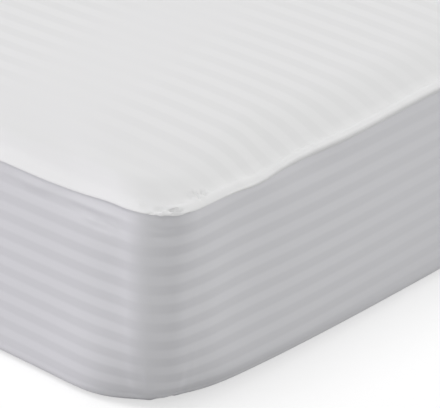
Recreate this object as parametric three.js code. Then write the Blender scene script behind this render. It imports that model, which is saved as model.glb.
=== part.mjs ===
// A fitted mattress cover on its mattress: a top panel, a side band that turns under as a hem,
// and the plain mattress that fills them. Millimetres, X along the bed, Y across it, Z up, with
// the hem lying on z = 0.
import * as THREE from 'three';
import { mergeVertices } from 'three/addons/utils/BufferGeometryUtils.js';

// Driving dimensions
const bedLength = 1900;
const bedWidth = 900;
const cornerRadius = 50;
const foldRadius = 14;          // a corner of the hem, far in under the mattress
const seamLevel = 219;          // the seam between the top panel and the side band
const crownRise = 26.4;         // the middle of the bed above the seam
const clothThickness = 2;
const seamGap = 0.7;            // between the top panel's lip and the side band
const mattressGap = 3.5;        // between the cover and the mattress
const mattressRest = 0.8;       // between the hem and the mattress that lies on it
const hemWidth = 62;            // flat under the mattress
const cornerTurn = 17;          // added at a corner to the radius of the band's turn under

// The top panel's rolled edge, where the seam allowance lies under it
const rollWidth = 9;
const lipDrop = 3;
const lipProud = 1.8;
// The rim is plainly rounded over, flush with the band, between two distances past the near corner.
// Beyond them the roll grows over a further length until it stands out by lipProud.
const flushFrom = -410;
const flushTo = 50;
const overhangGrows = 140;
const seamReach = 110;          // how far in over the top the seam's own waves are felt
const waveReach = 60;           // how far in the top's own waves are at full height
const topCornerWiden = 0.55;    // growth of the top's corner radius for each millimetre in
const topCornerLimit = 0.9;     // that radius at most, as a share of the half-width left

// The places round the outline where the section is worked out
const lengthSteps = 24;
const widthSteps = 12;
const cornerSteps = 6;
const crowding = 0.7;           // 0 spaces them evenly along a side, 1 crowds them at its ends
const mergeDistance = 0.001;

// The sides run counter-clockwise, each after the corner of the same number. "turn" is the radius at
// which the band turns under the mattress there.
const sides = [
  { name: 'foot', out: [1, 0], steps: widthSteps, turn: 16 },
  { name: 'back', out: [0, 1], steps: lengthSteps, turn: 15 },
  { name: 'head', out: [-1, 0], steps: widthSteps, turn: 18 },
  { name: 'front', out: [0, -1], steps: lengthSteps, turn: 12 },
];

// The corners, by their signs in X and Y. The tight cover draws each one in at the floor by "draw",
// with half-widths along the outline before and after the corner's middle, and turns under there at
// a larger radius, with half-widths of its own.
const corners = [
  { signs: [1, -1], draw: 29, drawBefore: 52, drawAfter: 50, turnBefore: 52, turnAfter: 260 },
  { signs: [1, 1], draw: 28, drawBefore: 64, drawAfter: 56, turnBefore: 150, turnAfter: 90 },
  { signs: [-1, 1], draw: 31, drawBefore: 56, drawAfter: 68, turnBefore: 80, turnAfter: 160 },
  { signs: [-1, -1], draw: 25, drawBefore: 70, drawAfter: 54, turnBefore: 180, turnAfter: 80 },
];
const drawTop = 130;            // the height where the drawing-in begins
const drawPower = 2.6;          // how late it comes: 1 would be a straight slope to the floor

// Swells at the corner between the front and the foot, full along the front and drawn in along the
// foot. "past" is the distance past its middle.
const cornerSwells = [
  { past: -76, up: 120, wide: 40, tall: 125, out: 1.0 },
  { past: -32, up: 130, wide: 25, tall: 120, out: -2.0 },
  { past: 20, up: 110, wide: 19, tall: 90, out: -3.4 },
  { past: 0, up: 0, wide: 24, tall: 34, out: 4.0 },
];

// The top panel's rise above the seam, by its distance in from the rim: along the two sides, where
// the cloth is pulled tight over the edge, and at the softer foot and head
const shoulder = [
  { inset: bedWidth / 2, side: crownRise, end: crownRise },
  { inset: 290, side: 25.6, end: 25.6 },
  { inset: 170, side: 24, end: 23.4 },
  { inset: 95, side: 21.4, end: 19.8 },
  { inset: 62, side: 18.6, end: 17 },
  { inset: 40, side: 15.4, end: 11.8 },
  { inset: 26, side: 13.2, end: 6 },
  { inset: 17, side: 7.8, end: 1.5 },
  { inset: rollWidth, side: 2.6, end: -0.8 },
  { inset: 5, side: 1.3, end: 0.9 },
  { inset: 0, side: 0, end: 0 },
];

// Heights of the side band's rows, as shares of the way from the bottom turn up to the seam
const bandRows = [0.96, 0.86, 0.7, 0.52, 0.34, 0.16];
const turnAngles = [0, 30, 60, 90];

// Swells and hollows of the side faces. "along" is X or Y on that side, "up" the height, "wide" and
// "tall" the half-widths, and "out" how far the face stands out there.
const swells = [
  { side: 'foot', along: -352, up: 110, wide: 60, tall: 200, out: -3.4 },
  { side: 'foot', along: -180, up: 120, wide: 120, tall: 110, out: 2.6 },
  { side: 'foot', along: -255, up: 219, wide: 50, tall: 22, out: -4.5 },
  { side: 'foot', along: 130, up: 100, wide: 150, tall: 90, out: 2.4 },
  { side: 'foot', along: 330, up: 130, wide: 80, tall: 120, out: -2.6 },
  { side: 'front', along: 868, up: 219, wide: 60, tall: 24, out: -4.5 },
  { side: 'front', along: 866, up: 30, wide: 55, tall: 50, out: 3.5 },
  { side: 'front', along: 790, up: 105, wide: 95, tall: 110, out: 2.2 },
  { side: 'front', along: 420, up: 150, wide: 140, tall: 80, out: -2.4 },
  { side: 'front', along: 90, up: 95, wide: 220, tall: 90, out: 3.2 },
  { side: 'front', along: -330, up: 219, wide: 110, tall: 30, out: -3.6 },
  { side: 'front', along: -640, up: 110, wide: 170, tall: 100, out: 2.4 },
  { side: 'back', along: 760, up: 120, wide: 110, tall: 120, out: -2.8 },
  { side: 'back', along: 430, up: 100, wide: 190, tall: 90, out: 3.0 },
  { side: 'back', along: 60, up: 219, wide: 130, tall: 30, out: -3.8 },
  { side: 'back', along: -260, up: 105, wide: 170, tall: 90, out: 2.2 },
  { side: 'back', along: -690, up: 130, wide: 130, tall: 110, out: -2.2 },
  { side: 'head', along: 250, up: 110, wide: 120, tall: 100, out: 2.6 },
  { side: 'head', along: -20, up: 219, wide: 90, tall: 28, out: -3.4 },
  { side: 'head', along: -270, up: 120, wide: 110, tall: 100, out: 2.0 },
];

// Rises and dips of the seam
const seamWaves = [
  { side: 'foot', along: -411, wide: 60, rise: 1.5 },
  { side: 'foot', along: -320, wide: 26, rise: -3.2 },
  { side: 'foot', along: -248, wide: 54, rise: -0.9 },
  { side: 'foot', along: -60, wide: 90, rise: 3.6 },
  { side: 'foot', along: 150, wide: 90, rise: -1.8 },
  { side: 'foot', along: 300, wide: 60, rise: 1.6 },
  { side: 'front', along: 916, wide: 42, rise: 0.8 },
  { side: 'front', along: 848, wide: 30, rise: -1.3 },
  { side: 'front', along: 806, wide: 40, rise: -1.5 },
  { side: 'front', along: 560, wide: 90, rise: -1.8 },
  { side: 'front', along: 250, wide: 120, rise: 1.9 },
  { side: 'front', along: -160, wide: 130, rise: -2.0 },
  { side: 'front', along: -560, wide: 110, rise: 1.8 },
  { side: 'back', along: 620, wide: 100, rise: 1.8 },
  { side: 'back', along: 200, wide: 130, rise: -2.2 },
  { side: 'back', along: -330, wide: 120, rise: 1.9 },
  { side: 'back', along: -720, wide: 80, rise: -1.6 },
  { side: 'head', along: 180, wide: 80, rise: -1.8 },
  { side: 'head', along: -180, wide: 90, rise: 1.7 },
];

// Wide, shallow dips and swells of the top
const topWaves = [
  { x: 882, y: -382, reach: 75, rise: -3.0 },
  { x: 800, y: -300, reach: 110, rise: 1.8 },
  { x: 550, y: -190, reach: 180, rise: -4.5 },
  { x: 560, y: 210, reach: 190, rise: 2.2 },
  { x: 180, y: -190, reach: 210, rise: 2.4 },
  { x: -40, y: 160, reach: 220, rise: -2.8 },
  { x: -420, y: -130, reach: 220, rise: -2.2 },
  { x: -620, y: 180, reach: 200, rise: 2.6 },
];

function bump(distance, halfWidth) {
  return Math.exp(-((distance / halfWidth) ** 2));
}

function ease(t) {
  const held = THREE.MathUtils.clamp(t, 0, 1);
  return held * held * (3 - 2 * held);
}

// A place from -1 to 1 along a straight side
function placeOf(step, steps) {
  const even = (2 * step) / steps - 1;
  const crowded = -Math.cos((Math.PI * step) / steps);
  return even * (1 - crowding) + crowded * crowding;
}

// Stations go once round the outline. Each has its outward direction, and its corner's signs or its
// place along a straight side.
function makeStations() {
  const stations = [];
  sides.forEach((side, index) => {
    for (let step = 0; step < cornerSteps; step += 1) {
      const angle = THREE.MathUtils.degToRad(90 * (index - 1 + step / cornerSteps));
      stations.push({ signs: corners[index].signs, out: [Math.cos(angle), Math.sin(angle)] });
    }
    for (let step = 0; step < side.steps; step += 1) {
      stations.push({ out: side.out, place: placeOf(step, side.steps) });
    }
  });
  return stations;
}

// A station's point in plan, with the outline drawn in by "inset" to corners of "radius". Drawn in
// by half the width, the outline has closed to a line along the middle of the bed.
function planPoint(station, inset, radius) {
  const middle = inset >= bedWidth / 2;
  const reach = middle ? 0 : radius;
  const x = bedLength / 2 - Math.min(inset, bedWidth / 2) - reach;
  const y = bedWidth / 2 - Math.min(inset, bedWidth / 2) - reach;
  const [outX, outY] = station.out;
  if (station.signs) {
    return [station.signs[0] * x + outX * reach, station.signs[1] * y + outY * reach];
  }
  const slide = station.place * (outX === 0 ? x : y);
  const stand = reach + (outX === 0 ? y : x);
  return [outX * stand - outY * slide, outY * stand + outX * slide];
}

// Corners tighten as the band goes under, and widen as the top rises from the rim.
function bandPlan(station, inset) {
  return planPoint(station, inset, Math.max(cornerRadius - inset, foldRadius));
}

function topPlan(station, inset) {
  const wide = cornerRadius + (inset < 0 ? -inset : topCornerWiden * inset);
  return planPoint(station, inset, Math.min(wide, topCornerLimit * (bedWidth / 2 - inset)));
}

// How squarely a station faces a side, from 0 to 1
function facing(station, { out }) {
  return Math.max(out[0] * station.out[0] + out[1] * station.out[1], 0) ** 2;
}

// The sum of a table's rows at a station, each by its nearness along its side
function tableSum(table, station, rowHeight) {
  const [x, y] = bandPlan(station, 0);
  let sum = 0;
  for (const row of table) {
    const side = sides.find(({ name }) => name === row.side);
    const along = side.out[0] === 0 ? x : y;
    sum += rowHeight(row) * facing(station, side) * bump(along - row.along, row.wide);
  }
  return sum;
}

function seamHeight(station) {
  return seamLevel + tableSum(seamWaves, station, ({ rise }) => rise);
}

// A station's distance past a corner's middle, less than 0 before it
function pastCorner(station, index) {
  const [x, y] = bandPlan(station, 0);
  const { signs } = corners[index];
  const [outX, outY] = sides[index].out;
  const fromX = x - (signs[0] * bedLength) / 2;
  const fromY = y - (signs[1] * bedWidth) / 2;
  const roundedOff = cornerRadius * (Math.SQRT2 - 1);
  const ahead = fromX * (outX - outY) + fromY * (outY + outX);
  return Math.sign(ahead) * (Math.hypot(fromX, fromY) - roundedOff);
}

// A corner's effect at a station, from 0 to 1, with a half-width on each side of its middle
function cornerEffect(station, index, before, after) {
  const past = pastCorner(station, index);
  return bump(past, past < 0 ? before : after);
}

// How fully the rim's roll stands out over the band, from 0 to 1
function overhang(station) {
  const past = pastCorner(station, 0);
  return ease(Math.max(flushFrom - past, past - flushTo) / overhangGrows);
}

// How far the side face stands out of the plain outline at a height
function faceOut(station, height) {
  const low = Math.max((drawTop - height) / drawTop, 0) ** drawPower;
  let stand = tableSum(swells, station, ({ out, up, tall }) => out * bump(height - up, tall));
  for (const { past, up, wide, tall, out } of cornerSwells) {
    stand += out * bump(pastCorner(station, 0) - past, wide) * bump(height - up, tall);
  }
  corners.forEach(({ draw, drawBefore, drawAfter }, index) => {
    stand -= draw * low * cornerEffect(station, index, drawBefore, drawAfter);
  });
  return stand;
}

// The radius at which the band turns under the mattress
function turnRadius(station) {
  let radius = 0;
  sides.forEach((side, index) => {
    const { turnBefore, turnAfter } = corners[index];
    radius += side.turn * facing(station, side);
    radius += cornerTurn * cornerEffect(station, index, turnBefore, turnAfter);
  });
  return radius;
}

// The band's section: down from the seam, round the bottom and in under the mattress
function bandSection(station) {
  const top = seamHeight(station) - lipDrop - seamGap;
  const turn = turnRadius(station);
  const heights = [top, ...bandRows.map((share) => turn + (top - turn) * share)];
  const points = heights.map((z) => ({ inset: -faceOut(station, z), z }));
  for (const degrees of turnAngles) {
    const angle = THREE.MathUtils.degToRad(degrees);
    const z = turn * (1 - Math.sin(angle));
    points.push({ inset: turn * (1 - Math.cos(angle)) - faceOut(station, z), z });
  }
  points.push({ inset: turn - faceOut(station, 0) + hemWidth, z: 0 });
  return points;
}

// The top panel's section: from the middle of the bed out over the rolled rim to its lip
function topSection(station) {
  const seam = seamHeight(station);
  const rimOut = faceOut(station, seam);
  const onEnd = station.out[0] ** 4;
  const flush = lipProud * (1 - overhang(station));
  const points = shoulder.map(({ inset, side, end }) => {
    const [x, y] = topPlan(station, inset);
    const nearRim = 1 - ease(inset / seamReach);
    let z = seamLevel + (seam - seamLevel) * nearRim + THREE.MathUtils.lerp(side, end, onEnd);
    for (const wave of topWaves) {
      const near = bump(Math.hypot(x - wave.x, y - wave.y), wave.reach);
      z += wave.rise * ease(inset / waveReach) * near;
    }
    return { inset: Math.max(inset, flush) - rimOut * nearRim, z };
  });
  const lipInset = flush - lipProud - rimOut;
  points.push({ inset: lipInset, z: seam - lipDrop / 2 });
  points.push({ inset: lipInset, z: seam - lipDrop });
  return points;
}

// A section moved in at right angles to itself. A point on the middle line goes straight down.
function movedIn(section, distance) {
  return section.map((point, i) => {
    if (point.inset === bedWidth / 2) {
      return { inset: point.inset, z: point.z - distance };
    }
    const before = section[Math.max(i - 1, 0)];
    const after = section[Math.min(i + 1, section.length - 1)];
    const run = after.inset - before.inset;
    const rise = after.z - before.z;
    const size = Math.hypot(run, rise);
    return {
      inset: point.inset - (rise / size) * distance,
      z: point.z + (run / size) * distance,
    };
  });
}

// A section's points in space
function placed(section, station, plan) {
  return section.map(({ inset, z }) => [...plan(station, inset), z]);
}

// A sheet's column: its outer face one way and its inner face back
function sheetColumn(section, station, plan) {
  const inner = movedIn(section, clothThickness).reverse();
  return placed([...section, ...inner], station, plan);
}

function topPanelColumn(station) {
  return sheetColumn(topSection(station), station, topPlan);
}

function sideBandColumn(station) {
  return sheetColumn(bandSection(station), station, bandPlan);
}

// The mattress keeps its distance from the cover's top and sides, and lies on the hem.
function mattressColumn(station) {
  const gap = clothThickness + mattressGap;
  const rollRow = shoulder.findIndex(({ inset }) => inset === rollWidth);
  const top = movedIn(topSection(station), gap).slice(0, rollRow);
  const band = bandSection(station);
  const face = movedIn(band, gap).slice(1, -2);
  const bottom = clothThickness + mattressRest;
  const edge = band[band.length - 2].inset + mattressGap;
  const base = [{ inset: edge, z: bottom }, { inset: bedWidth / 2, z: bottom }];
  return [...placed(top, station, topPlan), ...placed([...face, ...base], station, bandPlan)];
}

// Columns joined once round into a closed mesh. A ring-shaped sheet also joins its last row to its
// first. The others have closed to the middle line, where merging leaves triangles with no area.
function joinedColumns(columns, ringShaped) {
  const rows = columns[0].length;
  const rowPairs = ringShaped ? rows : rows - 1;
  const faces = [];
  columns.forEach((column, index) => {
    const next = ((index + 1) % columns.length) * rows;
    const here = index * rows;
    for (let row = 0; row < rowPairs; row += 1) {
      const under = (row + 1) % rows;
      faces.push(here + row, here + under, next + under);
      faces.push(here + row, next + under, next + row);
    }
  });
  const loose = new THREE.BufferGeometry();
  loose.setAttribute('position', new THREE.Float32BufferAttribute(columns.flat(2), 3));
  loose.setIndex(faces);
  const geometry = mergeVertices(loose, mergeDistance);
  const merged = [...geometry.getIndex().array];
  geometry.setIndex(merged.filter((_, i) => {
    const [a, b, c] = merged.slice(i - (i % 3), i - (i % 3) + 3);
    return a !== b && b !== c && c !== a;
  }));
  geometry.computeVertexNormals();
  return geometry;
}

const satinStripe = new THREE.MeshStandardMaterial({ color: 0xe8e8ea, roughness: 0.7 });
const bandCloth = new THREE.MeshStandardMaterial({ color: 0xe4e3e8, roughness: 0.7 });
const ticking = new THREE.MeshStandardMaterial({ color: 0xdcd9d2, roughness: 0.9 });

function piece(name, columns, ringShaped, material) {
  const geometry = joinedColumns(columns, ringShaped);
  const mesh = new THREE.Mesh(geometry, material);
  mesh.name = name;
  return mesh;
}

const stations = makeStations();
const coveredMattress = new THREE.Group();
coveredMattress.add(piece('top_panel', stations.map(topPanelColumn), false, satinStripe));
coveredMattress.add(piece('side_band', stations.map(sideBandColumn), true, bandCloth));
coveredMattress.add(piece('mattress', stations.map(mattressColumn), false, ticking));

// The swells differ from side to side, so the whole is centred over the origin by its box.
const centre = new THREE.Box3().setFromObject(coveredMattress).getCenter(new THREE.Vector3());
coveredMattress.position.set(-centre.x, -centre.y, 0);

export default coveredMattress;
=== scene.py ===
# %% [markdown]
# # A fitted mattress cover, cell by cell
# The object is the cover of a single bed, pulled over its mattress. It has two pieces of cloth: a top
# panel, and a side band that is sewn to it at the rim and turns under the mattress as a hem. Both are
# white cotton woven in stripes of satin and plain weave, so the pattern is only a change of gloss.
#
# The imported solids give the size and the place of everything. They could be shown as they are, but
# they are faceted, so each cloth is made again here as a fine, smooth sheet in the same place.

# %% Load the fixed frame
import math

import bpy
import numpy as np
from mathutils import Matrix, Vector


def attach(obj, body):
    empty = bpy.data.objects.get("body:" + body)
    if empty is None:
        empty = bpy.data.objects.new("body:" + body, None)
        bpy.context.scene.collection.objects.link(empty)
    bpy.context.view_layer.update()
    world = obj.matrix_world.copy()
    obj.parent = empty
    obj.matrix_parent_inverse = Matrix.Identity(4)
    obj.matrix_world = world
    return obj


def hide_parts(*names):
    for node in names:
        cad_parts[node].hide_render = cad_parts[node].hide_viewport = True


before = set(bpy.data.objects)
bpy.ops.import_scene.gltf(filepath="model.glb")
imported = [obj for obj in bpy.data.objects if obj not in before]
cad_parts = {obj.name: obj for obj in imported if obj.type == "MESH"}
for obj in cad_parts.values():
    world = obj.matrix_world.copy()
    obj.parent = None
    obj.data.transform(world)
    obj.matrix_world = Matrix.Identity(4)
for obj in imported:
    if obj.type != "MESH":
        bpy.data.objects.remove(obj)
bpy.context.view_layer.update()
MM = 0.001

# %% [markdown]
# ## The camera
# A long lens from over two metres away looks down on one corner, so the stripes of both sides run
# almost parallel. It could be aimed with a Track To constraint. Its three axes are worked out
# instead, because the aim is then a plain point beside the corner, and no lens shift is needed.

# %% Aim the camera at the near corner
bed_length = 1900
bed_width = 900
camera_turn = math.radians(41.888)
camera_rise = math.radians(26.423)
camera_distance = 2.351         # metres from the point it is aimed at
aim_aside, aim_above = 0.0511, 0.0448   # metres from the near corner to that point
camera_right = Vector((math.cos(camera_turn), math.sin(camera_turn), 0))
camera_back = Vector((math.sin(camera_turn) * math.cos(camera_rise),
                      -math.cos(camera_turn) * math.cos(camera_rise), math.sin(camera_rise)))
camera_up = camera_back.cross(camera_right)
near_corner = Vector((bed_length / 2, -bed_width / 2, 190)) * MM
aim = near_corner + camera_right * aim_aside + camera_up * aim_above
camera_data = bpy.data.cameras.new("camera")
camera_data.lens = 212.7
camera = bpy.data.objects.new("camera", camera_data)
bpy.context.scene.collection.objects.link(camera)
camera.rotation_mode = "QUATERNION"
camera.rotation_quaternion = (-camera_back).to_track_quat("-Z", "Y")
camera.location = aim + camera_back * camera_distance
bpy.context.scene.camera = camera
print("camera at", tuple(round(c, 3) for c in camera.location))

# %% [markdown]
# ## Colours and nodes
# Cloth colours are written as sRGB hex values, as a dye chart gives them. Blender works in linear
# light, so one function turns them. A second small function adds a shader node with its settings and
# its links, which keeps each material readable as a list of layers.

# %% Two helpers for materials
def linear(hex_colour):
    """The linear colour, with alpha, of an sRGB hex value"""
    channels = [int(hex_colour[i:i + 2], 16) / 255 for i in (1, 3, 5)]
    return [c / 12.92 if c <= 0.04045 else ((c + 0.055) / 1.055) ** 2.4 for c in channels] + [1]


def add(tree, kind, sockets=None, **settings):
    """A new node with its settings. A socket gets a plain value, or a link from another socket."""
    made = tree.nodes.new("ShaderNode" + kind)
    for name, value in settings.items():
        setattr(made, name, value)
    for name, value in (sockets or {}).items():
        if isinstance(value, bpy.types.NodeSocket):
            tree.links.new(value, made.inputs[name])
        else:
            made.inputs[name].default_value = value
    return made


def new_material(name):
    """A material with an empty node tree"""
    material = bpy.data.materials.new(name)
    material.use_nodes = True
    material.node_tree.nodes.clear()
    return material, material.node_tree

# %% [markdown]
# ## Studio light
# White cloth on white needs its faces apart in tone: the top brightest, the long side a little
# darker, the end darker again, and the corner between them darkest. Big area lamps would do, but on
# a bed nearly two metres long they fade from one end to the other. Sun lamps with a wide angle give
# the same soft, even light everywhere. One stands high over the top. One skims along each side from
# far round, so that a side grows darker as soon as it turns to the corner. A white world fills in.

# %% Three soft lamps and the world
lamp_width = math.radians(30)


def soft_sun(name, turn, height, strength, colour):
    """A sun lamp that shines from an azimuth and a height, both in degrees"""
    data = bpy.data.lights.new(name, "SUN")
    data.energy = strength * math.pi
    data.angle = lamp_width
    data.color = colour
    lamp = bpy.data.objects.new(name, data)
    bpy.context.scene.collection.objects.link(lamp)
    turn, height = math.radians(turn), math.radians(height)
    away = Vector((math.cos(turn) * math.cos(height), math.sin(turn) * math.cos(height), math.sin(height)))
    lamp.rotation_mode = "QUATERNION"
    lamp.rotation_quaternion = away.to_track_quat("Z", "Y")
    lamp.location = away * 3
    return lamp


def looked_at(tree):
    """1 for rays from the camera and for rays mirrored or let through to it, and 0 for the rest"""
    ray = add(tree, "LightPath").outputs
    seen = add(tree, "Math", {0: ray["Is Camera Ray"], 1: ray["Is Glossy Ray"]}, operation="ADD")
    seen = add(tree, "Math", {0: seen.outputs[0], 1: ray["Is Transmission Ray"]}, operation="ADD",
               use_clamp=True)
    return seen.outputs[0]


soft_sun("side_lamp", -155, 5, 0.385, (1, 0.94, 1.08))
soft_sun("end_lamp", 65, 5, 0.342, (1, 1, 1))
soft_sun("high_lamp", -120, 70, 0.309, (1, 1, 1))

world = bpy.data.worlds.new("studio")
bpy.context.scene.world = world
world.use_nodes = True
world.node_tree.nodes.clear()
sky = world.node_tree
dim = add(sky, "Background", {"Color": (1, 1, 1, 1), "Strength": 0.575})
white = add(sky, "Background", {"Color": (1, 1, 1, 1), "Strength": 1.0})
blend = add(sky, "MixShader", {0: looked_at(sky), 1: dim.outputs[0], 2: white.outputs[0]})
add(sky, "OutputWorld", {"Surface": blend.outputs[0]})
bpy.context.scene.view_settings.view_transform = "Standard"

# %% [markdown]
# ## The floor
# A pale floor throws soft light back up under the rounded bottom edge. Seen by the camera it adds a
# little white of its own, so that it meets the white world without a horizon, and it still takes
# the cover's shadow.

# %% A pale floor that fades to white
bpy.ops.object.select_all(action="DESELECT")
bpy.ops.mesh.primitive_plane_add(size=60, location=(0, 0, -0.0005))
floor = bpy.context.object
floor.name = "studio_floor"
floor_paint, tree = new_material("matt_white_floor_paint")
pale = add(tree, "BsdfDiffuse", {"Color": linear("#bcbcbc")})
lit = add(tree, "BsdfDiffuse", {"Color": linear("#b4b4b4")})
glow = add(tree, "Emission", {"Color": (1, 1, 1, 1), "Strength": 0.6})
bright = add(tree, "AddShader", {0: lit.outputs[0], 1: glow.outputs[0]})
mixed = add(tree, "MixShader", {0: looked_at(tree), 1: pale.outputs[0], 2: bright.outputs[0]})
add(tree, "OutputMaterial", {"Surface": mixed.outputs[0]})
floor.data.materials.append(floor_paint)

# %% [markdown]
# ## The outline of the bed
# Both cloths follow the mattress, so both are worked out in one way: stations go round the outline,
# and at each station a section of the cloth is drawn. The sizes from here on are in millimetres, as a
# cutter marks them, and are turned to metres when a mesh is made.
#
# A station has an outward direction, and an anchor that says which corner, or what place along a side,
# it belongs to. The stations are little more than 1 mm apart at the corner that is seen closest, 5 mm
# over the cloth near it, and far apart along the plain rest, because small creases need small faces.

# %% Stations round the outline
corner_radius = 50
fold_radius = 14
top_corner_widen = 0.55         # growth of the top's corner radius for each millimetre in
top_corner_limit = 0.9          # that radius at most, as a share of the half-width left
closest, near, far = 1.3, 4.8, 24   # spacings of the stations
closest_reach, closest_fades = 25, 90   # from a corner's end, and the length in which near takes over
far_grows = 200                 # the length in which the spacing grows to far
half_bed = np.array((bed_length, bed_width)) / 2

# Sides run counter-clockwise, each after the corner of the same number. "turn" is the radius of the
# band's turn under the mattress.
sides = [
    {"name": "foot", "out": (1, 0), "turn": 16, "corner_steps": 56},
    {"name": "back", "out": (0, 1), "turn": 15, "corner_steps": 14},
    {"name": "head", "out": (-1, 0), "turn": 18, "corner_steps": 14},
    {"name": "front", "out": (0, -1), "turn": 12, "corner_steps": 14},
]
# Each corner is drawn in at the floor by "draw". "drawn" and "turned" are the half-widths, before and
# after the corner, of its drawing-in and of its wider turn.
corners = [
    {"signs": (1, -1), "draw": 29, "drawn": (52, 50), "turned": (52, 260)},
    {"signs": (1, 1), "draw": 28, "drawn": (64, 56), "turned": (150, 90)},
    {"signs": (-1, 1), "draw": 31, "drawn": (56, 68), "turned": (80, 160)},
    {"signs": (-1, -1), "draw": 25, "drawn": (70, 54), "turned": (180, 80)},
]


def bump(distance, half_width):
    """1 at no distance, falling softly to 0"""
    return np.exp(-(distance / half_width) ** 2)


def ease(t):
    """0 to 1 with a soft start and end, held there beyond them"""
    held = np.clip(t, 0, 1)
    return held * held * (3 - 2 * held)


def side_places(length, fine_at_start, fine_at_end):
    """Places from -1 to 1 along a straight side of a length, closest together at its ends"""
    places, at = [], 0.0
    while at < length:
        places.append(at)
        to_end = length - at
        fine = closest + (near - closest) * ease((min(at, to_end) - closest_reach) / closest_fades)
        at += fine + (far - near) * ease(min(at - fine_at_start, to_end - fine_at_end) / far_grows)
    return 2 * np.array(places) / at - 1


straight_length, straight_width = 2 * (half_bed - corner_radius)
front_places = side_places(straight_length, 30, 400)
places_on = {
    "front": front_places,
    "back": np.append(-1, -front_places[:0:-1]),
    "foot": side_places(straight_width, 430, 30),
    "head": side_places(straight_width, 20, 20),
}

anchors, outs = [], []
for number, (side, corner) in enumerate(zip(sides, corners)):
    for step in range(side["corner_steps"]):
        angle = math.radians(90 * (number - 1 + step / side["corner_steps"]))
        anchors.append(corner["signs"])
        outs.append((math.cos(angle), math.sin(angle)))
    out = np.array(side["out"])
    along = np.array((-out[1], out[0]))
    for place in places_on[side["name"]]:
        anchors.append(out + along * place)
        outs.append(out)
anchors, outs = np.array(anchors, float), np.array(outs, float)


def plan(inset, radius):
    """The stations' points in plan, with the outline drawn in by inset to corners of radius"""
    inset, radius = np.broadcast_arrays(inset, radius)
    half = half_bed - (inset + radius)[..., None]
    return anchors[:, None] * half + outs[:, None] * radius[..., None]


def band_plan(inset):
    return plan(inset, np.maximum(corner_radius - inset, fold_radius))


def top_plan(inset):
    wide = corner_radius + np.where(inset < 0, -inset, top_corner_widen * inset)
    return plan(inset, np.minimum(wide, top_corner_limit * (half_bed[1] - inset)))


outline = band_plan(np.zeros((len(outs), 1)))[:, 0]
steps = np.linalg.norm(np.roll(outline, -1, 0) - outline, axis=1)
perimeter = steps.sum()
corner_start = steps[:sides[0]["corner_steps"]].sum() / 2
# How far round each station is from the near corner's middle, less than 0 along the front
run = (np.cumsum(steps) - steps - corner_start + perimeter / 2) % perimeter - perimeter / 2
opposite = -np.argmin(run)
anchors, outs, outline, run = (np.roll(a, opposite, 0) for a in (anchors, outs, outline, run))
print(len(outs), "stations,", round(perimeter), "mm round,", round(steps.min(), 1), "to",
      round(steps.max(), 1), "mm apart")

# %% [markdown]
# ## How the cover lies
# A pulled-on cover is never quite even. Its sides swell where the filling pushes and sink between,
# its seam rises and dips, and each corner is drawn in where the hem is tight. These are wide, low
# shapes, and each is one row of a table, placed by its side, its place along it and its height. A
# noise texture would be quicker, but it would put the same waves everywhere.

# %% Tables of the cover's unevenness
def table(columns, rows):
    """Rows with named columns"""
    return [dict(zip(columns.split(), row)) for row in rows]


seam_level = 219
crown_rise = 26.4
draw_top = 130                  # the height from which the corners are drawn in
draw_power = 2.6                # how late on the way down that happens
corner_turn = 17                # more turn radius at a corner's middle

swells = table("side along up wide tall out", [
    ("foot", -352, 110, 60, 200, -3.4),
    ("foot", -180, 120, 120, 110, 2.6),
    ("foot", -255, 219, 50, 22, -4.5),
    ("foot", 130, 100, 150, 90, 2.4),
    ("foot", 330, 130, 80, 120, -2.6),
    ("front", 868, 219, 60, 24, -4.5),
    ("front", 866, 30, 55, 50, 3.5),
    ("front", 790, 105, 95, 110, 2.2),
    ("front", 420, 150, 140, 80, -2.4),
    ("front", 90, 95, 220, 90, 3.2),
    ("front", -330, 219, 110, 30, -3.6),
    ("front", -640, 110, 170, 100, 2.4),
    ("back", 760, 120, 110, 120, -2.8),
    ("back", 430, 100, 190, 90, 3.0),
    ("back", 60, 219, 130, 30, -3.8),
    ("back", -260, 105, 170, 90, 2.2),
    ("back", -690, 130, 130, 110, -2.2),
    ("head", 250, 110, 120, 100, 2.6),
    ("head", -20, 219, 90, 28, -3.4),
    ("head", -270, 120, 110, 100, 2.0),
])

# The near corner is full on the long side and drawn in on the end. "past" is the distance past its
# middle.
corner_swells = table("past up wide tall out", [
    (-76, 120, 40, 125, 1.0),
    (-32, 130, 25, 120, -2.0),
    (20, 110, 19, 90, -3.4),
    (0, 0, 24, 34, 4.0),
])

seam_waves = table("side along wide rise", [
    ("foot", -411, 60, 1.5),
    ("foot", -320, 26, -3.2),
    ("foot", -248, 54, -0.9),
    ("foot", -60, 90, 3.6),
    ("foot", 150, 90, -1.8),
    ("foot", 300, 60, 1.6),
    ("front", 916, 42, 0.8),
    ("front", 848, 30, -1.3),
    ("front", 806, 40, -1.5),
    ("front", 560, 90, -1.8),
    ("front", 250, 120, 1.9),
    ("front", -160, 130, -2.0),
    ("front", -560, 110, 1.8),
    ("back", 620, 100, 1.8),
    ("back", 200, 130, -2.2),
    ("back", -330, 120, 1.9),
    ("back", -720, 80, -1.6),
    ("head", 180, 80, -1.8),
    ("head", -180, 90, 1.7),
])

top_waves = table("x y reach rise", [
    (882, -382, 75, -3.0),
    (800, -300, 110, 1.8),
    (550, -190, 180, -4.5),
    (560, 210, 190, 2.2),
    (180, -190, 210, 2.4),
    (-40, 160, 220, -2.8),
    (-420, -130, 220, -2.2),
    (-620, 180, 200, 2.6),
])


def facing(side):
    """How squarely each station faces a side, from 0 to 1"""
    return np.maximum(outs @ np.array(side["out"]), 0) ** 2


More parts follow.
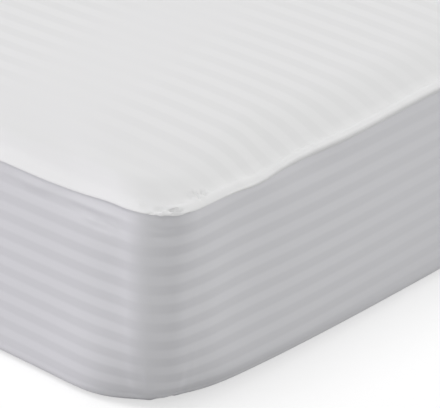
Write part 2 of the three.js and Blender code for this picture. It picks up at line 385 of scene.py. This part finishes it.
def summed(rows, value):
    """The sum of a table's rows at every station, each by its nearness along its side"""
    total = 0
    for row in rows:
        side = next(s for s in sides if s["name"] == row["side"])
        along = outline[:, 0 if side["out"][0] == 0 else 1]
        near = facing(side) * bump(along - row["along"], row["wide"])
        total = total + near[:, None] * value(row)
    return total


def past_corner(number):
    """Each station's distance past a corner's middle, less than 0 before it"""
    out = np.array(sides[number]["out"])
    away = outline - np.array(corners[number]["signs"]) * half_bed
    ahead = away @ (out + np.array((-out[1], out[0])))
    return np.sign(ahead) * (np.linalg.norm(away, axis=1) - corner_radius * (math.sqrt(2) - 1))


def corner_effect(number, half_widths):
    past = past_corner(number)
    return bump(past, np.where(past < 0, *half_widths))[:, None]


def face_out(height):
    """How far the side face stands out of the plain outline at a height"""
    stand = summed(swells, lambda row: row["out"] * bump(height - row["up"], row["tall"]))
    for row in corner_swells:
        near = bump(past_corner(0) - row["past"], row["wide"])[:, None]
        stand = stand + row["out"] * near * bump(height - row["up"], row["tall"])
    for number, corner in enumerate(corners):
        low = np.clip((draw_top - height) / draw_top, 0, 1) ** draw_power
        stand = stand - corner["draw"] * low * corner_effect(number, corner["drawn"])
    return stand


seam = seam_level + summed(seam_waves, lambda row: row["rise"])
turn = sum(side["turn"] * facing(side)[:, None] + corner_turn * corner_effect(n, corners[n]["turned"])
           for n, side in enumerate(sides))
print("seam from", round(seam.min(), 1), "to", round(seam.max(), 1), "mm up; turn radius from",
      round(turn.min(), 1), "to", round(turn.max(), 1))

# %% [markdown]
# ## The band's section
# Each station's section of the band starts at the rim, runs down the face, goes round the bottom at
# its own radius and ends in the flat hem. Rows are 2 mm apart under the rim, where the seam crumples
# the cloth, and wider below. Round the near corner the rim is plainly rounded over and the band starts
# just under it. Elsewhere the rim's roll stands out, and the band starts behind it.
#
# The pattern has to follow the cloth and not the room, so the sheet carries its own map: how far
# along the band, and how far down its surface. Both are lengths measured on the cloth itself.

# %% Lay out the side band
hem_width = 62
hem_rows = np.linspace(0, hem_width, 4)[1:]
flush = (-410, 50)              # past the near corner, where the rim is plainly rounded over
overhang_grows = 140            # the length in which an overhanging roll grows to its full size
past_flush = np.maximum(flush[0] - past_corner(0), past_corner(0) - flush[1])[:, None]
overhang = ease(past_flush / overhang_grows)
on_end = outs[:, :1] ** 4       # 1 along the two ends, where the rim is softest, and 0 along the sides
edge_drop = (1.8 + 2.4 * on_end) * (1 - overhang)   # how far the rounded edge comes down
lip_drop = 0.15 + 4.05 * overhang       # how far the roll comes down again over the band
lip_proud = 1.8 * overhang              # how far the roll stands out over the band
# The band's top edge below the seam: up behind the roll, or just under the rounded edge
seam_gap = 0.1
hidden_rise = 1.4
tucks_from = 0.7                # the share of the overhang at which the band begins to go behind it
behind = ease((overhang - tucks_from) / 0.3)
tuck = hidden_rise * behind + (edge_drop + lip_drop + seam_gap) * (1 - behind)
fine_face, whole_face = 40, 190         # how far down the fine rows and all rows reach
face_drops = np.concatenate([np.arange(0, fine_face, 2), np.linspace(fine_face, whole_face, 24)]) / whole_face
turn_angles = np.radians(np.linspace(0, 90, 12))[1:]
stripe_level = 190              # the middle of a satin stripe on the sides


def band_points():
    """The band's outer face as a grid of points, and how far down the cloth each one is"""
    face = turn + (seam - tuck - turn) * (1 - face_drops)
    under = turn * (1 - np.sin(turn_angles))
    turned_in = np.hstack([np.zeros_like(face), turn * (1 - np.cos(turn_angles))])
    hem = turn - face_out(np.zeros_like(turn)) + hem_rows
    height = np.hstack([face, under])
    inset = np.hstack([turned_in - face_out(height), hem])
    height = np.hstack([height, np.zeros_like(hem)])
    points = np.dstack([band_plan(inset), height])
    drops = np.linalg.norm(np.diff(points, axis=1), axis=2)
    down = np.hstack([np.zeros_like(seam), np.cumsum(drops, axis=1)])
    level = [np.interp(-stripe_level, -z, d) for z, d in zip(height, down)]
    return points, stripe_level - (down - np.array(level)[:, None])


band, band_down = band_points()
band_lengths = np.ptp(band_down, axis=1)
print("band grid", band.shape[:2], "cloth from rim to hem edge: least, middle and most",
      np.round(np.percentile(band_lengths, (0, 50, 100))))

# %% [markdown]
# ## The top panel's section
# The top panel rises from the rim in a full, round shoulder and is nearly flat in the middle. Its
# last centimetre is a soft roll, because the seam allowances of both cloths lie folded inside it.
# A few heights describe the shoulder, and a smooth curve is drawn through them.

# %% Lay out the top panel
roll_width = 9
seam_reach = 110                # how far in the seam's rise and dip still lift the top
wave_reach = 60                 # how far in the top's waves reach their full size

# "side" is the rise along the two long sides, where the cloth is pulled tight over the edge, and
# "end" the rise at the foot and the head.
shoulder = table("inset side end", [
    (0, 0, 0),
    (5, 1.3, 0.9),
    (roll_width, 2.6, -0.8),
    (17, 7.8, 1.5),
    (26, 13.2, 6),
    (40, 15.4, 11.8),
    (62, 18.6, 17),
    (95, 21.4, 19.8),
    (170, 24, 23.4),
    (290, 25.6, 25.6),
    (450, crown_rise, crown_rise),
])


def smooth_curve(known_x, known_y, x):
    """A smooth curve through the known points, read at x"""
    slopes = np.gradient(known_y, known_x)
    i = np.clip(np.searchsorted(known_x, x) - 1, 0, len(known_x) - 2)
    width = known_x[i + 1] - known_x[i]
    t = (x - known_x[i]) / width
    start = known_y[i] * (1 + 2 * t) + slopes[i] * width * t
    end = known_y[i + 1] * (3 - 2 * t) - slopes[i + 1] * width * (1 - t)
    return start * (1 - t) ** 2 + end * t ** 2


known_inset = np.array([row["inset"] for row in shoulder], float)
side_rise, end_rise = (np.array([row[name] for row in shoulder], float) for name in ("side", "end"))
top_insets = np.concatenate([np.arange(0, 32, 1.25), np.arange(33.5, 70, 4), np.geomspace(75, 450, 18)])
lip_angles = np.radians(np.linspace(165, 20, 5))
lip_middle = lip_drop / 2
edge_width = 9                  # the rounded edge's width, seen from above
edge_power = 1.3                # how quickly it rounds over


def top_points():
    """The top panel's outer face: from the lip, round the rim and up to the middle of the bed"""
    rim_out = face_out(seam)
    lip_inset = -rim_out - lip_proud * np.sin(lip_angles)
    lip_height = seam - edge_drop - lip_middle * (1 + np.cos(lip_angles[::-1]) / math.cos(lip_angles[-1]))
    near_rim = 1 - ease(top_insets / seam_reach)
    inset = top_insets - rim_out * near_rim
    x, y = np.moveaxis(top_plan(np.broadcast_to(top_insets, (len(outs), len(top_insets)))), 2, 0)
    rise = (smooth_curve(known_inset, side_rise, top_insets) * (1 - on_end)
            + smooth_curve(known_inset, end_rise, top_insets) * on_end)
    height = seam_level + (seam - seam_level) * near_rim + rise
    height = height - edge_drop * (1 - np.clip(top_insets / edge_width, 0, 1)) ** edge_power
    for wave in top_waves:
        near = bump(np.hypot(x - wave["x"], y - wave["y"]), wave["reach"])
        height = height + wave["rise"] * ease(top_insets / wave_reach) * near
    return np.dstack([top_plan(np.hstack([lip_inset, inset])), np.hstack([lip_height, height])])


def across_cloth(y):
    """How far across the cloth, from its middle, a place lies that is y across the bed"""
    inset = np.linspace(0, half_bed[1], 901)
    rise = smooth_curve(known_inset, side_rise, inset)
    lengths = np.append(0, np.cumsum(np.hypot(np.diff(inset), np.diff(rise))))
    middle = lengths[-1]
    from_rim = np.interp(half_bed[1] - np.abs(y), inset, lengths)
    return np.sign(y) * (middle - from_rim)


top = top_points()
print("top grid", top.shape[:2], "cloth", round(2 * across_cloth(half_bed[1])), "mm across")

# %% [markdown]
# ## Creases
# Small creases show where the cloth is short or has nowhere to go: round the drawn-in corners, under
# the rim and over the shoulder. Each is a line drawn on the cloth with a width and a depth, and the
# cloth is moved along its own normal by a soft trough or ridge that fades at the line's ends.
# A cloth simulation would make creases too, but not these ones in these places.
#
# Places are measured from the near corner. On the top they are how far along the bed and how far
# across it, and on the band how far round the outline and how high.

# %% Creases of the near corner and puckers of the seam
# "out" is how far a crease stands out of the cloth, and less than 0 for a trough.
top_creases = table("path wide out", [
    ([(-26, 15), (-20, 19), (-16, 23)], 1.7, -2.0),
    ([(-16, 22), (-11.8, 25.9), (-8.8, 29.5), (-6, 35.5)], 1.5, -4.0),
    ([(-18, 24.5), (-13.5, 30), (-11, 34.5)], 1.6, 2.1),
    ([(-17, 12), (-16.3, 17.8), (-16.2, 22.5)], 1.8, 1.7),
    ([(-12.6, 20.3), (-8.6, 26.2), (-4.6, 33.5)], 1.8, 2.3),
    ([(-17.5, 34), (-12.5, 43)], 2.2, -0.8),
    ([(-15, 56), (-7, 53)], 1.9, 0.6),
    ([(-12, 53.5), (-6, 51)], 2.0, -0.4),
    ([(-23, 57.6), (-8, 57.4)], 1.7, 1.8),
    ([(-23, 60.4), (-14, 59.9), (-5, 59.2)], 1.4, -2.6),
    ([(-21, 63.3), (-7, 63)], 1.8, 2.0),
    ([(-19, 67.4), (-7, 67.8)], 1.6, -1.8),
    ([(-20, 73), (-7, 72)], 2.4, 0.9),
    ([(-40, 12), (-32, 13.5), (-25, 12)], 2.4, -0.6),
    ([(-52, 10), (-43, 13), (-35, 10)], 2.6, 0.7),
])
# On the band the places are how far round from the corner's middle and how high.
band_creases = table("path wide out", [
    ([(-178, 207), (-158, 204), (-130, 206)], 5.5, 0.7),
    ([(-118, 206), (-80, 205), (-40, 204)], 3.6, 0.6),
    ([(-126, 199), (-90, 200), (-39, 198)], 4.0, -0.5),
    ([(-215, 204), (-170, 200), (-125, 198)], 6.0, -0.4),
    ([(-96, 196), (-70, 191)], 3.0, 0.5),
    ([(-88, 190), (-50, 187)], 3.4, -0.5),
    ([(-70, 201), (-44, 194)], 2.8, 0.5),
    ([(-20, 206), (6, 203), (24, 206)], 3.0, -0.5),
    ([(-14, 196), (16, 192)], 3.0, -0.4),
    ([(-22, 60), (-18, 12)], 5.0, 0.6),
    ([(26, 55), (20, 14)], 6.0, 0.6),
    ([(-52, 40), (-40, 10)], 6.0, -0.5),
])


crease_fades = 0.35             # the share of a crease's length in which it fades at each end
least_crease = 0.15             # what is left of it at its very end


def creased(points, across, up, creases):
    """The points moved along their outward normals by creases drawn in two measures of the cloth"""
    rising = 1 if points[0, -1, 2] > points[0, 0, 2] else -1
    normals = np.cross(np.gradient(points, axis=0), np.gradient(points, axis=1)) * rising
    normals /= np.maximum(np.linalg.norm(normals, axis=2, keepdims=True), 1e-9)
    moved = np.zeros(points.shape[:2])
    place = np.dstack([across, up])
    for crease in creases:
        path = np.array(crease["path"], float)
        lengths = np.append(0, np.cumsum(np.linalg.norm(np.diff(path, axis=0), axis=1)))
        nearest = np.full(points.shape[:2], np.inf)
        reached = np.zeros(points.shape[:2])
        for start, end, before, after in zip(path, path[1:], lengths, lengths[1:]):
            part = np.clip((place - start) @ (end - start) / (after - before) ** 2, 0, 1)
            away = np.linalg.norm(place - start - part[..., None] * (end - start), axis=2)
            reached = np.where(away < nearest, before + part * (after - before), reached)
            nearest = np.minimum(away, nearest)
        fade = ease(np.minimum(reached, lengths[-1] - reached) / (crease_fades * lengths[-1]))
        left = least_crease + (1 - least_crease) * fade
        moved += crease["out"] * left * bump(nearest, crease["wide"])
    return points + normals * moved[..., None]


def puckers(corner_number, count, seed):
    """Short creases that cross the seam beside a corner that is not seen close, unevenly spaced"""
    spread = 75                 # how far from the corner's middle they lie
    random = np.random.default_rng(seed)
    middle = run[np.argmin(np.abs(past_corner(corner_number)))]
    rows = []
    for _ in range(count):
        at = middle + random.uniform(-spread, spread)
        high = random.uniform(205, 214)
        low = high - random.uniform(8, 26)
        rows.append({"path": [(at, high), (at + random.uniform(-9, 9), low)],
                     "wide": random.uniform(2.4, 4.5), "out": random.uniform(-0.7, 0.7)})
    return rows


puckers_at_corner = 9
for number in (1, 2, 3):
    band_creases += puckers(number, puckers_at_corner, seed=number)

# %% [markdown]
# ## Two sheets of cloth
# The grids of points become meshes. Where the outline closes, the last column is the first one again,
# and where all sections meet in the middle of the top, doubled points are merged. The mesh is only the
# cloth's outer face, so the Solidify modifier gives it its thickness inwards, with a closed edge.

# %% Make the meshes
cloth_thickness = 1.2
sharp_angle = math.radians(45)          # the cloth's cut edge stays sharp, and all creases are smooth
doubled_within = 0.00002                # metres


def grid_mesh(name, points, cloth_map):
    """A mesh of a ring of sections, with a cloth map in metres"""
    count, rows = points.shape[:2]
    i, j = np.meshgrid(np.arange(count), np.arange(rows - 1), indexing="ij")
    here, there = i * rows, (i + 1) % count * rows
    quads = np.stack([here + j, here + j + 1, there + j + 1, there + j], axis=-1).reshape(-1, 4)
    corners_at = np.stack([(i, j), (i, j + 1), (i + 1, j + 1), (i + 1, j)]).transpose(2, 3, 0, 1)
    mesh = bpy.data.meshes.new(name)
    mesh.from_pydata((points.reshape(-1, 3) * MM).tolist(), [], quads.tolist())
    layer = mesh.uv_layers.new(name="cloth")
    picked = corners_at.reshape(-1, 2)
    layer.data.foreach_set("uv", (cloth_map[picked[:, 0], picked[:, 1]] * MM).ravel())
    piece = bpy.data.objects.new(name, mesh)
    bpy.context.scene.collection.objects.link(piece)
    return piece


def finish_sheet(piece, thickness):
    """Merge doubled points, thicken inwards and shade smoothly"""
    bpy.ops.object.select_all(action="DESELECT")
    piece.select_set(True)
    bpy.context.view_layer.objects.active = piece
    bpy.ops.object.mode_set(mode="EDIT")
    bpy.ops.mesh.select_all(action="SELECT")
    bpy.ops.mesh.remove_doubles(threshold=doubled_within)
    bpy.ops.mesh.dissolve_degenerate(threshold=doubled_within)
    bpy.ops.object.mode_set(mode="OBJECT")
    solid = piece.modifiers.new("thickness", "SOLIDIFY")
    solid.thickness = thickness * MM
    solid.offset = -1
    bpy.ops.object.modifier_apply(modifier=solid.name)
    bpy.ops.object.shade_smooth_by_angle(angle=sharp_angle)
    triangles = sum(len(polygon.vertices) - 2 for polygon in piece.data.polygons)
    print(piece.name, triangles, "triangles")
    return piece


def with_closing(values):
    """The stations' values, with the first one again at the end"""
    return np.concatenate([values, values[:1]])


on_band = np.broadcast_to(run[:, None], band.shape[:2])
band = creased(band, on_band, band[..., 2], band_creases)
run_closed = np.append(run, run[0] + perimeter)[:, None]
band_map = np.dstack([np.broadcast_to(run_closed, (len(run) + 1, band.shape[1])), with_closing(band_down)])
cover_band = finish_sheet(grid_mesh("cover_band", band, band_map), cloth_thickness)

top = creased(top, top[..., 0] - half_bed[0], top[..., 1] + half_bed[1], top_creases)
top_map = with_closing(np.dstack([top[..., 0], across_cloth(top[..., 1])]))
cover_top = finish_sheet(grid_mesh("cover_top", top, top_map), cloth_thickness)

# %% [markdown]
# ## The mattress inside
# Only its underside shows, inside the hem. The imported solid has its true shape, so a copy of it with
# smooth sides is enough.

# %% Copy the mattress
bpy.ops.object.select_all(action="DESELECT")
mattress = bpy.data.objects.new("mattress_body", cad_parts["mattress"].data.copy())
bpy.context.scene.collection.objects.link(mattress)
mattress.data.materials.clear()
mattress.select_set(True)
bpy.context.view_layer.objects.active = mattress
bpy.ops.object.mode_set(mode="EDIT")
bpy.ops.mesh.select_all(action="SELECT")
bpy.ops.mesh.remove_doubles(threshold=0.00001)
bpy.ops.mesh.normals_make_consistent(inside=False)
bpy.ops.object.mode_set(mode="OBJECT")
bpy.ops.object.shade_smooth_by_angle(angle=math.radians(35))

# %% [markdown]
# ## Cloth finishes
# Satin stripe is one thread in two weaves. In the satin bars the threads float over each other and
# lie smooth, so they shine. In the plain bars they go over and under, so they look mattest. Both bars
# are the same white, but the satin bars are painted a little lighter: painted sheen, beside their real
# lower roughness. The sheen shows best where light comes across the floats, and dies away where it
# comes along them, so each cloth has a row of places and strengths for how strongly the painted sheen
# shows. Just inside the top's rims the cloth is painted whiter still, a painted highlight.
#
# An image of the cloth would be quicker, but it would blur close up and could not follow the folds.

# %% Satin stripe
def strength_along(tree, measure, places):
    """A strength that goes softly through the values given at places along a measure, in millimetres"""
    first, last = places[0][0], places[-1][0]
    share = add(tree, "MapRange", {"Value": measure, 1: first * MM, 2: last * MM})
    ramp = add(tree, "ValToRGB", {"Fac": share.outputs[0]})
    ramp.color_ramp.interpolation = "EASE"
    elements = ramp.color_ramp.elements
    while len(elements) < len(places):
        elements.new(0.5)
    for element, (place, strength) in zip(elements, places):
        element.position = (place - first) / (last - first)
        element.color = (strength, strength, strength, 1)
    return ramp.outputs["Color"]


def striped_cloth(name, repeat, shift, colours, strengths, strengths_across, slant=0, highlight_rims=()):
    """White cloth with satin bars along it, painted lighter than the plain bars as painted sheen. The
    strength of that painted sheen is one row's value along the cloth times the other's across it. A
    slant turns the first row's measure, so that a fading strip can lie at an angle. The rims are the
    half-sizes along and across at the cloth's rims, just inside which a painted highlight whitens it."""
    material, tree = new_material(name)
    cloth = add(tree, "UVMap", uv_map="cloth")
    place = add(tree, "SeparateXYZ", {"Vector": cloth.outputs[0]})
    # the bars, with edges that wander a little as the floats end at different threads
    wander_width, edge_softness = 1.2, 2.2
    ragged = add(tree, "TexNoise", {"Vector": cloth.outputs[0], "Scale": 90.0, "Detail": 2.0})
    wander = add(tree, "Math", {0: ragged.outputs[0], 1: wander_width * MM, 2: place.outputs["Y"]},
                 operation="MULTIPLY_ADD")
    moved = add(tree, "Math", {0: wander.outputs[0], 1: (-shift - wander_width / 2) * MM}, operation="ADD")
    from_bar = add(tree, "Math", {0: moved.outputs[0], 1: repeat / 2 * MM}, operation="PINGPONG")
    satin = add(tree, "MapRange", {"Value": from_bar.outputs[0], 1: (repeat / 4 - edge_softness) * MM,
                                   2: (repeat / 4 + edge_softness) * MM, 3: 0.5, 4: -0.5},
                interpolation_type="SMOOTHSTEP")
    # how strongly the bars' painted sheen shows, by place on the cloth
    slanted = add(tree, "Math", {0: place.outputs["Y"], 1: slant, 2: place.outputs["X"]},
                  operation="MULTIPLY_ADD")
    shown = add(tree, "Math", {0: strength_along(tree, slanted.outputs[0], strengths),
                               1: strength_along(tree, place.outputs["Y"], strengths_across)},
                operation="MULTIPLY").outputs[0]
    # a painted highlight: in a strip just in from the rim the cloth is painted as its whitest bars
    rim_highlight_from, rim_highlight_to = 22, 8    # in from the rim
    ground_and_rim_highlight = 0.5
    for axis, rim in zip("XY", highlight_rims):
        from_middle = add(tree, "Math", {0: place.outputs[axis]}, operation="ABSOLUTE")
        rim_highlight = add(tree, "MapRange", {"Value": from_middle.outputs[0], 1: (rim - rim_highlight_from) * MM,
                                           2: (rim - rim_highlight_to) * MM, 3: 0.5, 4: 1.0},
                        interpolation_type="SMOOTHSTEP")
        ground_and_rim_highlight = add(tree, "Math", {0: rim_highlight.outputs[0], 1: ground_and_rim_highlight}, operation="MAXIMUM").outputs[0]
    bars = add(tree, "Math", {0: satin.outputs[0], 1: shown, 2: ground_and_rim_highlight}, operation="MULTIPLY_ADD")
    # the weave: warp and weft threads 0.4 mm apart, drawn as 1.2 mm so that they can show at all
    weave = add(tree, "Mapping", {"Vector": cloth.outputs[0], "Scale": (833, 833, 833)})
    checks = add(tree, "TexChecker", {"Vector": weave.outputs[0], "Scale": 1.0})
    threads = add(tree, "TexNoise", {"Vector": add(tree, "Mapping", {
        "Vector": cloth.outputs[0], "Scale": (60, 1500, 1)}).outputs[0], "Scale": 1.0, "Detail": 1.0})
    surface = add(tree, "Math", {0: threads.outputs[0], 1: 0.6, 2: checks.outputs["Fac"]},
                  operation="MULTIPLY_ADD")
    # broad softness where the cloth was folded and smoothed out again
    rumple = add(tree, "TexNoise", {"Vector": cloth.outputs[0], "Scale": 14.0, "Detail": 2.0})
    rumpled = add(tree, "Bump", {"Height": rumple.outputs[0], "Strength": 0.10, "Distance": 0.004})
    woven = add(tree, "Bump", {"Height": surface.outputs[0], "Strength": 0.06, "Distance": 0.0002,
                               "Normal": rumpled.outputs[0]})
    # the lighter satin colour is painted sheen
    colour = add(tree, "Mix", {"Factor": bars.outputs[0], "A": linear(colours[0]), "B": linear(colours[1])},
                 data_type="RGBA")
    rough = add(tree, "MapRange", {"Value": bars.outputs[0], 3: 0.8, 4: 0.5})
    body = add(tree, "BsdfPrincipled", {"Base Color": colour.outputs["Result"], "Roughness": rough.outputs[0],
                                        "Specular IOR Level": 0.3, "Sheen Weight": 0.05,
                                        "Normal": woven.outputs[0]})
    add(tree, "OutputMaterial", {"Surface": body.outputs[0]})
    return material


# Millimetres round from the near corner's middle, and the strength of the bars' painted sheen there.
# It is strong on both sides of the corner and all but vanishes just before its middle.
band_sheen_strengths = [(-2600, 0.6), (-250, 0.57), (-130, 0.73), (-108, 0.82), (-80, 0.8), (-65, 0.88),
                  (-50, 0.97), (-35, 0.76), (-22, 0.12), (-10, 0.12), (-2, 0.6), (8, 0.88), (26, 0.86),
                  (48, 0.74), (90, 0.65), (180, 0.56), (220, 0.6), (260, 0.52), (345, 0.4), (420, 0.36),
                  (800, 0.5), (2600, 0.6)]
# Up and down the band the painted sheen is even.
band_sheen_across = [(-140, 1.0), (230, 1.0)]
# Millimetres along the bed from its middle, and the strength of the bars' painted sheen there. It
# fades over a slanting strip across the bed and again beside the foot's rim.
top_sheen_strengths = [(-1000, 0.34), (520, 0.34), (598, 0.06), (660, 0.05), (735, 0.30), (820, 0.38),
                 (960, 0.12)]
top_sheen_across = [(-460, 0.15), (-385, 0.4), (-330, 1.0), (460, 1.0)]
# the second colour of each cloth is its satin bars' painted sheen
cover_band.data.materials.append(striped_cloth(
    "white_cotton_satin_stripe_20", 20, 10, ("#e1e1e4", "#ebebee"), band_sheen_strengths,
    band_sheen_across))
# the top panel also gets a painted highlight just inside its rims
cover_top.data.materials.append(striped_cloth(
    "white_cotton_satin_stripe_26", 26.4, 20 - across_cloth(half_bed[1]), ("#e1e1e1", "#ebebeb"),
    top_sheen_strengths, top_sheen_across, slant=0.25, highlight_rims=(half_bed[0], across_cloth(half_bed[1]))))

# %% [markdown]
# ## Ticking
# The mattress has a plain, hard-wearing weave that never shines. A twill texture from crossed waves
# would be closer to herringbone ticking, but only its underside shows, so a fine rough noise does.

# %% Ticking of the mattress
ticking, tree = new_material("plain_woven_ticking")
solid_place = add(tree, "TexCoord")
grain = add(tree, "TexNoise", {"Vector": solid_place.outputs["Object"], "Scale": 900.0, "Detail": 3.0})
cloudy = add(tree, "TexNoise", {"Vector": solid_place.outputs["Object"], "Scale": 7.0, "Detail": 2.0})
shade = add(tree, "Mix", {"Factor": cloudy.outputs[0], "A": linear("#dedad1"), "B": linear("#e6e2da")},
            data_type="RGBA")
pressed = add(tree, "Bump", {"Height": grain.outputs[0], "Strength": 0.15, "Distance": 0.0004})
body = add(tree, "BsdfPrincipled", {"Base Color": shade.outputs["Result"], "Roughness": 0.85,
                                    "Normal": pressed.outputs[0]})
add(tree, "OutputMaterial", {"Surface": body.outputs[0]})
mattress.data.materials.append(ticking)

for piece, node, finish in ((cover_top, "top_panel", "satin_stripe_top"),
                            (cover_band, "side_band", "satin_stripe_band"),
                            (mattress, "mattress", "plain_ticking")):
    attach(piece, "root")
    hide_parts(node)
